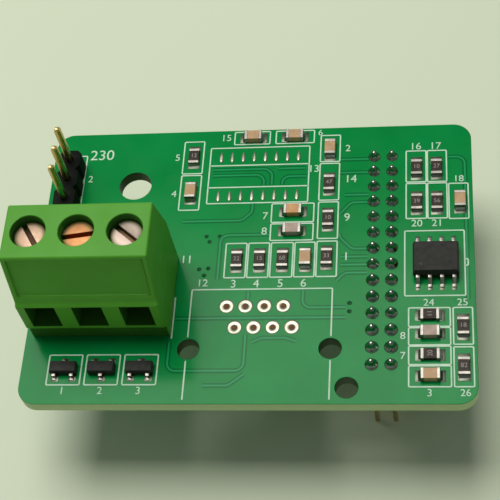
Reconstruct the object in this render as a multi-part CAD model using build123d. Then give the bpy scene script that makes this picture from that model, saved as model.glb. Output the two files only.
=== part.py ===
# Expansion board: a small circuit board with a screw terminal block, a three-pin header,
# a two-row header on its underside and surface-mounted chips.
# Millimetres. The origin is the centre of the mounting hole on the board's underside,
# +X runs along the board's long side, +Y towards its back edge, +Z up.
from build123d import *
from math import atan2, degrees, pi
import os

os.makedirs("parts", exist_ok=True)

# ---- circuit board ----
# Places on it are measured from its left and front edges, but what lies to the right of the
# terminal block keeps together with the right edge, and its x is measured from there.
board_length = 48.0
board_width = 34.7
board_thickness = 1.6
board_corner_radius = 2.0
mounting_hole_x = 10.0
mounting_hole_y = 27.3
mounting_hole_radius = 1.85
small_hole_sides = 8
hidden_hole_sides = 6
via_radius = 0.25
vias_from_right = [
    (29.2, 20.3), (27.7, 20.3), (28.8, 19.6), (29.7, 16.1), (28.7, 16.2), (29.1, 15.3),
    (13.2, 10.7), (13.2, 11.7),
]

# ---- footprint of an unfitted modular jack ----
jack_from_right = 22.6
jack_row_y = 11.3
jack_contact_pitch = 1.02
jack_row_gap = 2.57
jack_contacts = 8
jack_contact_hole_radius = 0.43
jack_contact_sides = 10
jack_post_spacing = 15.0
jack_post_setback = 2.38
jack_post_hole_radius = 1.2
jack_peg_from_right = 13.3
jack_peg_y = 1.85

# ---- bare pads ----
pad_thickness = 0.05
pad_ring_radius = 0.8
driver_from_right = 23.85
driver_y = 28.25
driver_pad_pitch = 1.27
driver_pads_per_row = 8
driver_row_spacing = 5.3
driver_pad_length = 2.0
driver_pad_width = 0.65

# ---- screw terminal block; heights are measured from the board's top face ----
pole_count = 3
pole_pitch = 5.0
block_x = 8.35
block_axis_y = 12.6
block_end_margin = 0.05
block_height = 14.0
block_top_depth = 6.35
block_base_depth = 10.2
block_shoulder_height = 7.4
block_ledge_depth = 0.45
ledge_slope_depth = 0.1
ledge_slope_height = 0.25
block_edge_radius = 0.25
lip_height = 2.7
lip_depth = 0.4
panel_recess = 0.3
panel_margin = 0.6
panel_top_margin = 0.55
panel_ledge_height = 0.9
wire_entry_width = 3.2
wire_entry_bottom = 3.1
wire_entry_height = 3.9
well_radius = 1.85
screw_recess = 1.0
ceiling_thickness = 0.8
cavity_width = 4.2
cavity_front = 2.7
cavity_back = 3.5

# ---- terminal screws ----
screw_head_clearance = 0.1
screw_head_height = 1.7
screw_slot_width = 0.65
screw_slot_depth = 0.9
screw_thread_radius = 1.25
screw_thread_pitch = 0.45
screw_hole_clearance = 0.15
screw_slot_angles = [-58.0, 8.0, -40.0]

# ---- rising wire clamps ----
clamp_side_clearance = 0.12
clamp_wall = 0.55
clamp_top_wall = 1.2
clamp_floor_wall = 0.65
clamp_depth = 4.0
clamp_turns = 5
clamp_corner_chamfer = 0.3
running_clearance = 0.05
grip_gap = 0.35

# ---- contact strips with their solder pins ----
strip_thickness = 0.75
strip_side_clearance = 0.2
strip_back_clearance = 0.2
strip_foot_height = 0.9
solder_pin_width = 1.0
solder_pin_length = 3.5
solder_pin_hole_radius = 0.7

# ---- three-pin header ----
link_pin_count = 3
link_pitch = 2.54
link_x = 2.6
link_y = 26.9
link_base_width = 2.5
link_base_height = 2.54
link_notch = 0.45
link_pin_width = 0.64
link_pin_rise = 6.0
link_pin_drop = 3.0
link_pin_hole_radius = 0.5

# ---- two-row header under the board ----
stack_rows = 14
stack_columns = 2
stack_pitch = 2.0
stack_from_right = 9.8
stack_y = 17.45
stack_base_height = 2.0
stack_notch = 0.35
stack_pin_width = 0.5
stack_pin_rise = 1.1
stack_pin_drop = 12.4
stack_pin_hole_radius = 0.4
pin_tip_length = 0.3
pin_tip_inset = 0.14

# ---- solder ----
cone_height = 0.75
cone_base_radius = 0.72
cone_neck_clearance = 0.02
underside_cone_height = 0.8
link_cone_rim = 0.35
block_cone_rim = 0.45

# ---- interface chip in an eight-lead package ----
chip_from_right = 4.1
chip_y = 16.45
chip_body_length = 4.9
chip_body_width = 3.9
chip_body_height = 1.45
chip_standoff = 0.15
chip_lead_pitch = 1.27
chip_leads_per_side = 4
chip_lead_span = 6.1
chip_lead_width = 0.42
chip_dot_radius = 0.35
chip_dot_inset = 0.9
chip_dot_depth = 0.05
mould_draft = 7

# ---- three-lead packages ----
sot_x = 8.9
sot_y = 3.95
sot_spacing = 4.1
sot_reversed = [False, True, False]
sot_body_length = 2.9
sot_body_width = 1.3
sot_body_height = 0.95
sot_lead_pitch = 1.9
sot_lead_span = 2.5
sot_lead_width = 0.42
sot_standoff = 0.08

lead_thickness = 0.18
lead_foot = 0.55

# ---- chip resistors and capacitors ----
passive_length = 2.0
passive_width = 1.25
resistor_height = 0.5
capacitor_height = 0.85
end_cap_length = 0.4
end_cap_skin = 0.04
fillet_length = 0.45
fillet_share = 0.7

# columns and rows of parts, and the board axis that each part's length follows
edge_lane = 1.4
ladder_lane = 4.8
chip_lanes = [6.1, 3.9]
centre_lane = 15.8
lower_row = 17.1
lower_row_from_right = [25.6, 23.1, 20.6, 18.1]
resistors_from_right = [
    (31.45, 31.0, "y"),
    (centre_lane, 26.9, "y"), (centre_lane, 22.2, "y"), (centre_lane, 17.3, "y"),
    (lower_row_from_right[0], lower_row, "y"), (lower_row_from_right[1], lower_row, "y"),
    (lower_row_from_right[2], lower_row, "y"),
    (chip_lanes[0], 28.7, "y"), (chip_lanes[1], 28.7, "y"),
    (chip_lanes[0], 24.1, "y"), (chip_lanes[1], 24.1, "y"),
    (edge_lane, 8.7, "y"), (edge_lane, 4.1, "y"),
    (ladder_lane, 10.1, "x"), (ladder_lane, 5.5, "x"),
]
capacitors_from_right = [
    (31.45, 26.1, "y"), (centre_lane, 31.6, "y"), (lower_row_from_right[3], lower_row, "y"),
    (edge_lane, 24.2, "y"),
    (24.7, 33.5, "x"), (19.9, 33.5, "x"), (19.7, 23.3, "x"), (19.7, 20.8, "x"),
    (ladder_lane, 8.0, "x"), (ladder_lane, 3.1, "x"),
]


# ---- helpers ----
def on_board(x, y, height=0.0):
    """Place on the board, from its left and front edges, at a height above its top face."""
    return Pos(x - mounting_hole_x, y - mounting_hole_y, board_thickness + height)


def from_right(places):
    """Turns distances from the right edge into places from the left edge."""
    return [(board_length - distance, *rest) for distance, *rest in places]


def spread(count, pitch):
    """Offsets of a centred row of equal steps."""
    return [(i - (count - 1) / 2) * pitch for i in range(count)]


def standing_box(width, depth, height):
    return Box(width, depth, height, align=(Align.CENTER, Align.CENTER, Align.MIN))


def standing_cylinder(radius, height):
    return Cylinder(radius, height, align=(Align.CENTER, Align.CENTER, Align.MIN))


def side_profile(points, width):
    """Solid of the given width in X, from an outline of (y, z) points."""
    return extrude(Plane.YZ * make_face(Polyline(*points, close=True)), amount=width / 2, both=True)


def many_sided(radius, height, sides=small_hole_sides):
    """Small standing column with flats, which keeps what repeats light to draw."""
    return extrude(RegularPolygon(radius, sides, major_radius=False), height)


def drilled(places, radius):
    """Cylinders that run through the board at the given places."""
    drill = standing_cylinder(radius, board_thickness)
    return [on_board(x, y, -board_thickness) * drill for x, y in places]


def pierced(places, radius, sides):
    """Small holes through the board, cut as many-sided columns."""
    punch = many_sided(radius, board_thickness, sides)
    return [on_board(x, y, -board_thickness) * punch for x, y in places]


def square_pin(width, cut_end, plug_end):
    """Square pin between two heights, tapered where a socket slides over it."""
    pin = Pos(0, 0, min(cut_end, plug_end)) * standing_box(width, width, abs(cut_end - plug_end))
    levels = pin.edges().filter_by(Axis.Z, reverse=True).group_by(Axis.Z)
    tip = levels[-1] if plug_end > cut_end else levels[0]
    return chamfer(tip, pin_tip_length, pin_tip_inset)


def save(name, shape):
    shape.label = name
    export_step(shape, f"parts/{name}.step")


def group(solids):
    return Compound(children=list(solids))


# ---- places that several pieces share ----
jack_x = board_length - jack_from_right
driver_x = board_length - driver_from_right
stack_x = board_length - stack_from_right
chip_x = board_length - chip_from_right
sot_places = [(sot_x + dx, sot_y) for dx in spread(len(sot_reversed), sot_spacing)]
resistors = from_right(resistors_from_right)
capacitors = from_right(capacitors_from_right)
pole_places = [(block_x + dx, block_axis_y) for dx in spread(pole_count, pole_pitch)]
link_places = [(link_x, link_y + dy) for dy in spread(link_pin_count, link_pitch)]
stack_places = [(stack_x + dx, stack_y + dy)
                for dy in spread(stack_rows, stack_pitch)
                for dx in spread(stack_columns, stack_pitch)]
jack_contact_places = [(jack_x + dx, jack_row_y - jack_row_gap * (i % 2))
                       for i, dx in enumerate(spread(jack_contacts, jack_contact_pitch))]
jack_post_places = [(jack_x + dx, jack_row_y - jack_row_gap - jack_post_setback)
                    for dx in spread(2, jack_post_spacing)]
strip_back = cavity_back - strip_back_clearance
strip_front = strip_back - strip_thickness
solder_pin_y = strip_back - strip_thickness / 2
solder_pin_places = [(x, y + solder_pin_y) for x, y in pole_places]

# ---- heights inside the terminal block ----
screw_seat = block_height - screw_recess - screw_head_height
cavity_top = screw_seat - ceiling_thickness
clamp_travel = clamp_turns * screw_thread_pitch
clamp_floor_top = wire_entry_bottom - running_clearance
strip_bar_bottom = clamp_floor_top + clamp_travel + grip_gap
strip_bar_top = strip_bar_bottom + strip_thickness
clamp_inner_top = strip_bar_top + 2 * running_clearance
clamp_width = cavity_width - 2 * clamp_side_clearance
clamp_inner_width = clamp_width - 2 * clamp_wall


# ---- circuit board ----
def circuit_board():
    outline = RectangleRounded(board_length, board_width, board_corner_radius)
    blank = on_board(board_length / 2, board_width / 2, -board_thickness) * extrude(outline, board_thickness)
    holes = drilled([(mounting_hole_x, mounting_hole_y)], mounting_hole_radius)
    peg_place = from_right([(jack_peg_from_right, jack_peg_y)])
    holes += drilled(jack_post_places + peg_place, jack_post_hole_radius)
    holes += pierced(jack_contact_places, jack_contact_hole_radius, jack_contact_sides)
    holes += pierced(solder_pin_places, solder_pin_hole_radius, hidden_hole_sides)
    holes += pierced(link_places, link_pin_hole_radius, hidden_hole_sides)
    holes += pierced(stack_places, stack_pin_hole_radius, hidden_hole_sides)
    holes += pierced(from_right(vias_from_right), via_radius, hidden_hole_sides)
    return blank - holes


def bare_pads():
    """Tinned pads of the two footprints that are left unfitted."""
    rim = many_sided(pad_ring_radius, pad_thickness, jack_contact_sides)
    ring = rim - many_sided(jack_contact_hole_radius, pad_thickness, jack_contact_sides)
    land = standing_box(driver_pad_width, driver_pad_length, pad_thickness)
    pads = [on_board(x, y) * ring for x, y in jack_contact_places]
    pads += [on_board(x, y, -board_thickness - pad_thickness) * ring for x, y in jack_contact_places]
    for dx in spread(driver_pads_per_row, driver_pad_pitch):
        pads += [on_board(driver_x + dx, driver_y + dy) * land for dy in spread(2, driver_row_spacing)]
    return group(pads)


# ---- terminal block ----
def block_width():
    return pole_count * pole_pitch + 2 * block_end_margin


def block_outline():
    """Side outline: sloping top half, straight back, stepped front with a lip under the wire entries."""
    top = block_top_depth / 2
    base = block_base_depth / 2
    ledge = base - block_ledge_depth
    return [
        (-top, block_height), (-ledge, block_shoulder_height),
        (-base + ledge_slope_depth, block_shoulder_height - ledge_slope_height), (-base, lip_height),
        (-base + lip_depth, lip_height - lip_depth), (-base + lip_depth, 0),
        (base, 0), (base, block_shoulder_height), (top, block_height),
    ]


def terminal_housing():
    body = side_profile(block_outline(), block_width())
    top_edges = body.edges().filter_by(Axis.X).group_by(Axis.Z)[-1]
    body = fillet(top_edges, block_edge_radius)
    body -= front_panel_recess()
    for dx in spread(pole_count, pole_pitch):
        body -= Pos(dx, 0, 0) * pole_cavity()
    return on_board(block_x, block_axis_y) * body


def front_panel_recess():
    """Shallow pocket in the sloping front face, between the end walls and above the ledge."""
    top = block_top_depth / 2
    ledge = block_base_depth / 2 - block_ledge_depth
    slope = (ledge - top) / (block_height - block_shoulder_height)
    high = block_height - panel_top_margin
    low = block_shoulder_height + panel_ledge_height
    floor_high = -top - slope * panel_top_margin + panel_recess
    floor_low = -top - slope * (block_height - low) + panel_recess
    points = [(floor_high, high), (-block_base_depth, high), (-block_base_depth, low), (floor_low, low)]
    return side_profile(points, block_width() - 2 * panel_margin)


def pole_cavity():
    """Screw well, screw hole, clamp chamber and wire entry of one pole."""
    well = Pos(0, 0, screw_seat) * standing_cylinder(well_radius, block_height)
    hole = Pos(0, 0, cavity_top) * standing_cylinder(screw_thread_radius + screw_hole_clearance, block_height)
    chamber = standing_box(cavity_width, cavity_front + cavity_back, cavity_top)
    chamber = Pos(0, (cavity_back - cavity_front) / 2, 0) * chamber
    entry = Pos(0, -block_base_depth / 2, wire_entry_bottom) * standing_box(
        wire_entry_width, block_base_depth, wire_entry_height)
    return well + hole + chamber + entry


def terminal_screw(slot_angle):
    """Captive slotted screw: its head fills the well and its tip stands on the contact strip."""
    head_radius = well_radius - screw_head_clearance
    head = Pos(0, 0, screw_seat) * standing_cylinder(head_radius, screw_head_height)
    tip = strip_bar_top + running_clearance
    shank = Pos(0, 0, tip) * standing_cylinder(screw_thread_radius, screw_seat - tip)
    slot = Rot(0, 0, slot_angle) * standing_box(2 * well_radius, screw_slot_width, screw_slot_depth)
    slot_floor = screw_seat + screw_head_height - screw_slot_depth
    return head + shank - Pos(0, 0, slot_floor) * slot


def wire_clamp():
    """Square loop that rides up on the screw and presses the wire against the contact strip."""
    low = clamp_floor_top - clamp_floor_wall
    high = clamp_inner_top + clamp_top_wall
    outer = Pos(0, 0, low) * standing_box(clamp_width, clamp_depth, high - low)
    outer = chamfer(outer.edges().filter_by(Axis.Y), clamp_corner_chamfer)
    inner_height = clamp_inner_top - clamp_floor_top
    inner = Pos(0, 0, clamp_floor_top) * standing_box(clamp_inner_width, clamp_depth, inner_height)
    thread = Pos(0, 0, clamp_inner_top) * many_sided(screw_thread_radius + running_clearance, clamp_top_wall)
    return outer - inner - thread


def contact_strip():
    """Bent strip: a bar through the clamp, a leg behind it and the solder pin below."""
    width = clamp_inner_width - 2 * strip_side_clearance
    reach = clamp_depth / 2
    outline = [
        (-reach, strip_bar_bottom), (strip_front, strip_bar_bottom), (strip_front, strip_foot_height),
        (strip_back, strip_foot_height), (strip_back, strip_bar_top), (-reach, strip_bar_top),
    ]
    strip = side_profile(outline, width)
    pin = standing_box(solder_pin_width, strip_thickness, strip_foot_height + solder_pin_length)
    return strip + Pos(0, solder_pin_y, -solder_pin_length) * pin


# ---- headers ----
def header_base(rows, pitch, width, height, notch):
    """Moulded strip with a notch at each side between neighbouring pins."""
    base = standing_box(width, rows * pitch, height)
    cutter = Rot(0, 0, 45) * standing_box(notch * 2 ** 0.5, notch * 2 ** 0.5, height)
    for dy in spread(rows + 1, pitch):
        base -= [Pos(dx, dy, 0) * cutter for dx in spread(2, width)]
    return base


def link_header_base():
    base = header_base(link_pin_count, link_pitch, link_base_width, link_base_height, link_notch)
    for dy in spread(link_pin_count, link_pitch):
        base -= Pos(0, dy, 0) * standing_box(link_pin_width, link_pin_width, link_base_height)
    return on_board(link_x, link_y) * base


def stack_header_base():
    width = stack_columns * stack_pitch
    base = header_base(stack_rows, stack_pitch, width, stack_base_height, stack_notch)
    for dy in spread(stack_rows, stack_pitch):
        for dx in spread(stack_columns, stack_pitch):
            base -= Pos(dx, dy, 0) * standing_box(stack_pin_width, stack_pin_width, stack_base_height)
    return on_board(stack_x, stack_y, -board_thickness - stack_base_height) * base


def stack_header_pins():
    pin = square_pin(stack_pin_width, stack_pin_rise, -board_thickness - stack_pin_drop)
    return group([on_board(x, y) * pin for x, y in stack_places])


# ---- solder ----
def solder_cone(height, base_radius, hole_width, hole_depth):
    """Many-sided cone of solder round a pin, with the pin's section left open."""
    neck_radius = (hole_width ** 2 + hole_depth ** 2) ** 0.5 / 2 + cone_neck_clearance
    slope = degrees(atan2(base_radius - neck_radius, height))
    cone = extrude(RegularPolygon(base_radius, small_hole_sides, major_radius=False), height, taper=slope)
    return cone - standing_box(hole_width, hole_depth, height)


def stack_solder_joints():
    cone = solder_cone(cone_height, cone_base_radius, stack_pin_width, stack_pin_width)
    return group([on_board(x, y) * cone for x, y in stack_places])


def underside_solder_joints():
    """Joints of the three-pin header and of the terminal block, made from below."""
    flip = Rot(180, 0, 0)
    link_rim = link_pin_hole_radius + link_cone_rim
    block_rim = solder_pin_hole_radius + block_cone_rim
    link_cone = flip * solder_cone(underside_cone_height, link_rim, link_pin_width, link_pin_width)
    block_cone = flip * solder_cone(underside_cone_height, block_rim, solder_pin_width, strip_thickness)
    joints = [on_board(x, y, -board_thickness) * link_cone for x, y in link_places]
    joints += [on_board(x, y, -board_thickness) * block_cone for x, y in solder_pin_places]
    return group(joints)


# ---- leaded packages ----
def moulded_body(length, width, height, standoff):
    """Body with drafted sides that meet at the lead plane, halfway up."""
    half = height / 2
    upper = extrude(Rectangle(length, width), half, taper=mould_draft)
    return Pos(0, 0, standoff + half) * (upper + mirror(upper, Plane.XY))


def gull_lead(body_edge, span_edge, exit_height, width):
    """Lead that leaves the body level, bends down and ends in a flat foot on the board."""
    shoulder = body_edge + lead_thickness
    heel = span_edge - lead_foot
    upper = exit_height + lead_thickness / 2
    lower = exit_height - lead_thickness / 2
    outline = [
        (body_edge, lower), (shoulder, lower), (heel, 0), (span_edge, 0), (span_edge, lead_thickness),
        (heel + lead_thickness, lead_thickness), (shoulder + lead_thickness, upper), (body_edge, upper),
    ]
    return side_profile(outline, width)


def interface_chip_body():
    body = moulded_body(chip_body_length, chip_body_width, chip_body_height, chip_standoff)
    top = chip_standoff + chip_body_height
    dot_x = chip_dot_inset - chip_body_length / 2
    dot_y = chip_dot_inset - chip_body_width / 2
    body -= Pos(dot_x, dot_y, top - chip_dot_depth) * standing_cylinder(chip_dot_radius, chip_dot_depth)
    return on_board(chip_x, chip_y) * body


def interface_chip_leads():
    lead_exit = chip_standoff + chip_body_height / 2
    lead = gull_lead(chip_body_width / 2, chip_lead_span / 2, lead_exit, chip_lead_width)
    leads = []
    for dx in spread(chip_leads_per_side, chip_lead_pitch):
        leads += [on_board(chip_x + dx, chip_y) * Rot(0, 0, turn) * lead for turn in (0, 180)]
    return group(leads)


def sot_body(place):
    return on_board(*place) * moulded_body(sot_body_length, sot_body_width, sot_body_height, sot_standoff)


def sot_leads():
    lead_exit = sot_standoff + sot_body_height / 2
    lead = gull_lead(sot_body_width / 2, sot_lead_span / 2, lead_exit, sot_lead_width)
    leads = []
    for (x, y), reverse in zip(sot_places, sot_reversed):
        pair_turn, single_turn = (0, 180) if reverse else (180, 0)
        leads += [on_board(x + dx, y) * Rot(0, 0, pair_turn) * lead for dx in spread(2, sot_lead_pitch)]
        leads.append(on_board(x, y) * Rot(0, 0, single_turn) * lead)
    return group(leads)


# ---- chip resistors and capacitors ----
def passive(place, height):
    """Ceramic block whose end caps stand a little proud of it."""
    x, y, along = place
    end = passive_length / 2
    cap = end - end_cap_length
    body_height = height - end_cap_skin
    outline = [
        (-end, 0), (end, 0), (end, height), (cap, height), (cap, body_height),
        (-cap, body_height), (-cap, height), (-end, height),
    ]
    turn = 0 if along == "y" else 90
    return on_board(x, y) * Rot(0, 0, turn) * side_profile(outline, passive_width)


def passive_fillets():
    """Wedges of solder that run from the pads up the end caps."""
    wedges = []
    for places, height in ((resistors, resistor_height), (capacitors, capacitor_height)):
        rise = height * fillet_share
        outline = [(0, 0), (fillet_length, 0), (0, rise)]
        wedge = Pos(0, passive_length / 2, 0) * side_profile(outline, passive_width)
        for x, y, along in places:
            first_turn = 0 if along == "y" else 90
            wedges += [on_board(x, y) * Rot(0, 0, first_turn + turn) * wedge for turn in (0, 180)]
    return group(wedges)


# ---- write every piece ----
save("circuit_board", circuit_board())
save("bare_pads", bare_pads())
save("terminal_housing", terminal_housing())
for number, (place, angle) in enumerate(zip(pole_places, screw_slot_angles), 1):
    save(f"terminal_screw_{number}", on_board(*place) * terminal_screw(angle))
    save(f"wire_clamp_{number}", on_board(*place) * wire_clamp())
    save(f"contact_strip_{number}", on_board(*place) * contact_strip())

save("link_header_base", link_header_base())
link_pin = square_pin(link_pin_width, -link_pin_drop, link_base_height + link_pin_rise)
for number, place in enumerate(link_places, 1):
    save(f"link_pin_{number}", on_board(*place) * link_pin)

save("stack_header_base", stack_header_base())
save("stack_header_pins", stack_header_pins())
save("stack_solder_joints", stack_solder_joints())
save("underside_solder_joints", underside_solder_joints())

save("interface_chip_body", interface_chip_body())
save("interface_chip_leads", interface_chip_leads())
for number, place in enumerate(sot_places, 1):
    save(f"surge_diode_body_{number}", sot_body(place))
save("surge_diode_leads", sot_leads())

for number, place in enumerate(resistors, 1):
    save(f"chip_resistor_{number}", passive(place, resistor_height))
for number, place in enumerate(capacitors, 1):
    save(f"chip_capacitor_{number}", passive(place, capacitor_height))
save("passive_solder_fillets", passive_fillets())

print(f"clamp travel {clamp_travel:.2f} mm over {clamp_turns} turns,",
      f"{screw_thread_pitch / (2 * pi):.5f} mm per radian")
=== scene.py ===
import math

import bmesh
import bpy
from mathutils import Matrix, Vector


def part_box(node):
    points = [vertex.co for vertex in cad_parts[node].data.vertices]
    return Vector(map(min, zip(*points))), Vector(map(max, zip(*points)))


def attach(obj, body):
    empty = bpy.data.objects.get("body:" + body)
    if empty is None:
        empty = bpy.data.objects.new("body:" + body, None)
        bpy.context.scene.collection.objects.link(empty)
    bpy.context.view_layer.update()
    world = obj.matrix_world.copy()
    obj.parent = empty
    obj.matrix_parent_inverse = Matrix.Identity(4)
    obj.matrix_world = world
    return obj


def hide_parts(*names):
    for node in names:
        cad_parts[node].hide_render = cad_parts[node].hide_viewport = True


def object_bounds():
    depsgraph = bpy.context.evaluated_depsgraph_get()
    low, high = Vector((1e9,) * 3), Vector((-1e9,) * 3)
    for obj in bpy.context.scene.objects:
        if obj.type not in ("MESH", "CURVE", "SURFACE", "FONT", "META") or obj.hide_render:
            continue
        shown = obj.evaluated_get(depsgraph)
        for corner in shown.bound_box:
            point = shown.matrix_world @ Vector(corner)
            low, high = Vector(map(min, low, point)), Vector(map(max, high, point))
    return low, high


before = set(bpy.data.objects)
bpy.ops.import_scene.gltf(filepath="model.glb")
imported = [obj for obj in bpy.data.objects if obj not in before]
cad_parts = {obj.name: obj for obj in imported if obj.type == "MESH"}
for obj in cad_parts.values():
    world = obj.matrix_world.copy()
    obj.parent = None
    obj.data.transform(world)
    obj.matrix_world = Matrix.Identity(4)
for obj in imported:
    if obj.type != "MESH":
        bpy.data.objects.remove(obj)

mm = 0.001
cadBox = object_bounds()
boardLow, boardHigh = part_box("circuit_board")
boardTop = boardHigh.z
boardUnder = boardLow.z
scene = bpy.context.scene
finish = {}  # materials by name
sunk = 0.01  # solder and tin start this far inside what they sit on
copyMerge = (0.002, 2)  # reach in millimetres within which corners merge, flatness in degrees
cutMerge = (0.001, 1)
waveStep = 0.314  # how far apart a wave texture's bands lie at a scale of 1


# places on the board are in millimetres from its left and front edges
def spot(x, y):
    return Vector((boardLow.x + x * mm, boardLow.y + y * mm, boardTop))


def footOf(node):
    # middle of a node's box, at its lowest height
    low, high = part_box(node)
    return Vector(((low.x + high.x) / 2, (low.y + high.y) / 2, low.z))


# mesh tools
def keepPiece(name, data, *materials):
    piece = bpy.data.objects.new(name, data)
    scene.collection.objects.link(piece)
    for material in materials:
        data.materials.append(finish[material])
    return piece


def dress(piece, *materials):
    # takes off the materials that cuts have left, which also sets every face back to the first
    piece.data.materials.clear()
    for material in materials:
        piece.data.materials.append(finish[material])


def finishPiece(piece, slot, *replaced, body="board"):
    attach(piece, body)
    if replaced:
        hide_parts(*replaced)


def meshFrom(name, bm, smooth=True):
    mesh = bpy.data.meshes.new(name)
    bm.to_mesh(mesh)
    bm.free()
    if smooth:
        mesh.shade_smooth()
    return mesh


def setSharp(mesh, degrees=30):
    mesh.shade_smooth()
    mesh.set_sharp_from_angle(angle=math.radians(degrees))
    return mesh


def settledMesh(piece):
    graph = bpy.context.evaluated_depsgraph_get()
    return bpy.data.meshes.new_from_object(piece.evaluated_get(graph))


def settled(piece):
    # turns a piece with modifiers into a plain mesh
    mesh = settledMesh(piece)
    piece.modifiers.clear()
    mesh.name = piece.data.name + "Done"
    piece.data = mesh
    return piece


def softenEdges(piece, width, segments=2, degrees=32, clamp=True):
    piece.data.shade_smooth()
    bevel = piece.modifiers.new("softEdges", "BEVEL")
    bevel.width = width * mm
    bevel.segments = segments
    bevel.limit_method = "ANGLE"
    bevel.angle_limit = math.radians(degrees)
    bevel.use_clamp_overlap = clamp
    bevel.harden_normals = True
    return settled(piece)


def cleanUp(bm, reach, degrees):
    # merges corners that coincide and joins up flat faces
    bmesh.ops.remove_doubles(bm, verts=bm.verts, dist=reach * mm)
    bmesh.ops.dissolve_limit(bm, angle_limit=math.radians(degrees), verts=bm.verts, edges=bm.edges)


def softCopy(node, name, material, width, segments=2):
    # a merged copy of a CAD node's loose triangles, with rounded edges
    bm = bmesh.new()
    bm.from_mesh(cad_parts[node].data)
    cleanUp(bm, *copyMerge)
    return softenEdges(keepPiece(name, meshFrom(name, bm), material), width, segments)


def softNode(node, name, material, width, slot, body="board"):
    finishPiece(softCopy(node, name, material, width), slot, node, body=body)


def turnedMesh(name, profile, steps):
    # revolves (radius, height) points in millimetres; a radius of 0 closes a pole
    bm = bmesh.new()
    rings = []
    for radius, height in profile:
        angles = [2 * math.pi * i / steps for i in range(steps if radius else 1)]
        rings.append([bm.verts.new((radius * mm * math.cos(a), radius * mm * math.sin(a), height * mm))
                      for a in angles])
    for lower, upper in zip(rings, rings[1:]):
        for i in range(steps):
            a, b = lower[i % len(lower)], lower[(i + 1) % len(lower)]
            c, d = upper[(i + 1) % len(upper)], upper[i % len(upper)]
            corners = [v for n, v in enumerate((a, b, c, d)) if v not in (a, b, c, d)[:n]]
            if len(corners) > 2:
                bm.faces.new(corners)
    bmesh.ops.recalc_face_normals(bm, faces=bm.faces)
    return meshFrom(name, bm)


def turnedPiece(name, profile, steps, centre):
    mesh = turnedMesh(name, profile, steps)
    mesh.transform(Matrix.Translation(centre))
    return keepPiece(name, mesh)


def stackedMesh(name, bm, rings):
    # joins rings of corners, closed at both ends
    for lower, upper in zip(rings, rings[1:]):
        for i in range(len(lower)):
            j = (i + 1) % len(lower)
            bm.faces.new((lower[i], lower[j], upper[j], upper[i]))
    bm.faces.new(rings[-1])
    bm.faces.new(rings[0][::-1])
    bmesh.ops.recalc_face_normals(bm, faces=bm.faces)
    return meshFrom(name, bm)


def prismMesh(name, points, width, centre=Vector()):
    # solid with an outline of (y, z) points, in millimetres about a centre
    bm = bmesh.new()
    left, right = ([bm.verts.new((centre.x + side * width / 2 * mm, centre.y + y * mm, centre.z + z * mm))
                    for y, z in points] for side in (-1, 1))
    bm.faces.new(left)
    bm.faces.new(right[::-1])
    for i in range(len(points)):
        j = (i + 1) % len(points)
        bm.faces.new((left[i], right[i], right[j], left[j]))
    bmesh.ops.recalc_face_normals(bm, faces=bm.faces)
    return meshFrom(name, bm)


def addBox(bm, size, place, index=0):
    # adds a box to a mesh in the making, in millimetres
    verts = bmesh.ops.create_cube(bm, size=1.0)["verts"]
    bmesh.ops.scale(bm, vec=Vector(size) * mm, verts=verts)
    bmesh.ops.translate(bm, vec=Vector(place) * mm, verts=verts)
    for face in {f for v in verts for f in v.link_faces}:
        face.material_index = index


def boxMesh(name, size, radius, base):
    # rounded box that stands on its base height
    bm = bmesh.new()
    addBox(bm, size, (0, 0, base + size[2] / 2))
    bmesh.ops.bevel(bm, geom=bm.edges, offset=radius * mm, segments=2, affect="EDGES", profile=0.5,
                    clamp_overlap=True)
    return setSharp(meshFrom(name, bm))


def joinMeshes(name, parts):
    # parts are (mesh, matrix) pairs that share their materials
    bm = bmesh.new()
    for mesh, matrix in parts:
        copy = mesh.copy()
        copy.transform(matrix)
        bm.from_mesh(copy)
        bpy.data.meshes.remove(copy)
    return meshFrom(name, bm, smooth=False)


def joinPieces(name, pieces, degrees):
    mesh = joinMeshes(name, [(piece.data, Matrix()) for piece in pieces])
    for piece in pieces:
        bpy.data.objects.remove(piece)
    return setSharp(mesh, degrees)


# Geometry Nodes
def makeTree(name, sockets, kinds, settings, links):
    # each link reads "part.output > part.input", with a socket's name or number
    tree = bpy.data.node_groups.new(name, "GeometryNodeTree")
    tree.interface.new_socket(name="Geometry", in_out="INPUT", socket_type="NodeSocketGeometry")
    for title, kind, value in sockets:
        socket = tree.interface.new_socket(name=title, in_out="INPUT", socket_type="NodeSocket" + kind)
        if value is not None:
            socket.default_value = value
    tree.interface.new_socket(name="Geometry", in_out="OUTPUT", socket_type="NodeSocketGeometry")
    parts = {title: tree.nodes.new(kind) for title, kind in kinds.items()}
    for title, key, value in settings:
        setattr(parts[title], key, value)
    for link in links:
        (start, output), (end, entry) = (side.split(".") for side in link.split(" > "))
        tree.links.new(parts[start].outputs[int(output) if output.isdigit() else output],
                       parts[end].inputs[int(entry) if entry.isdigit() else entry])
    return tree, parts


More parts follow.
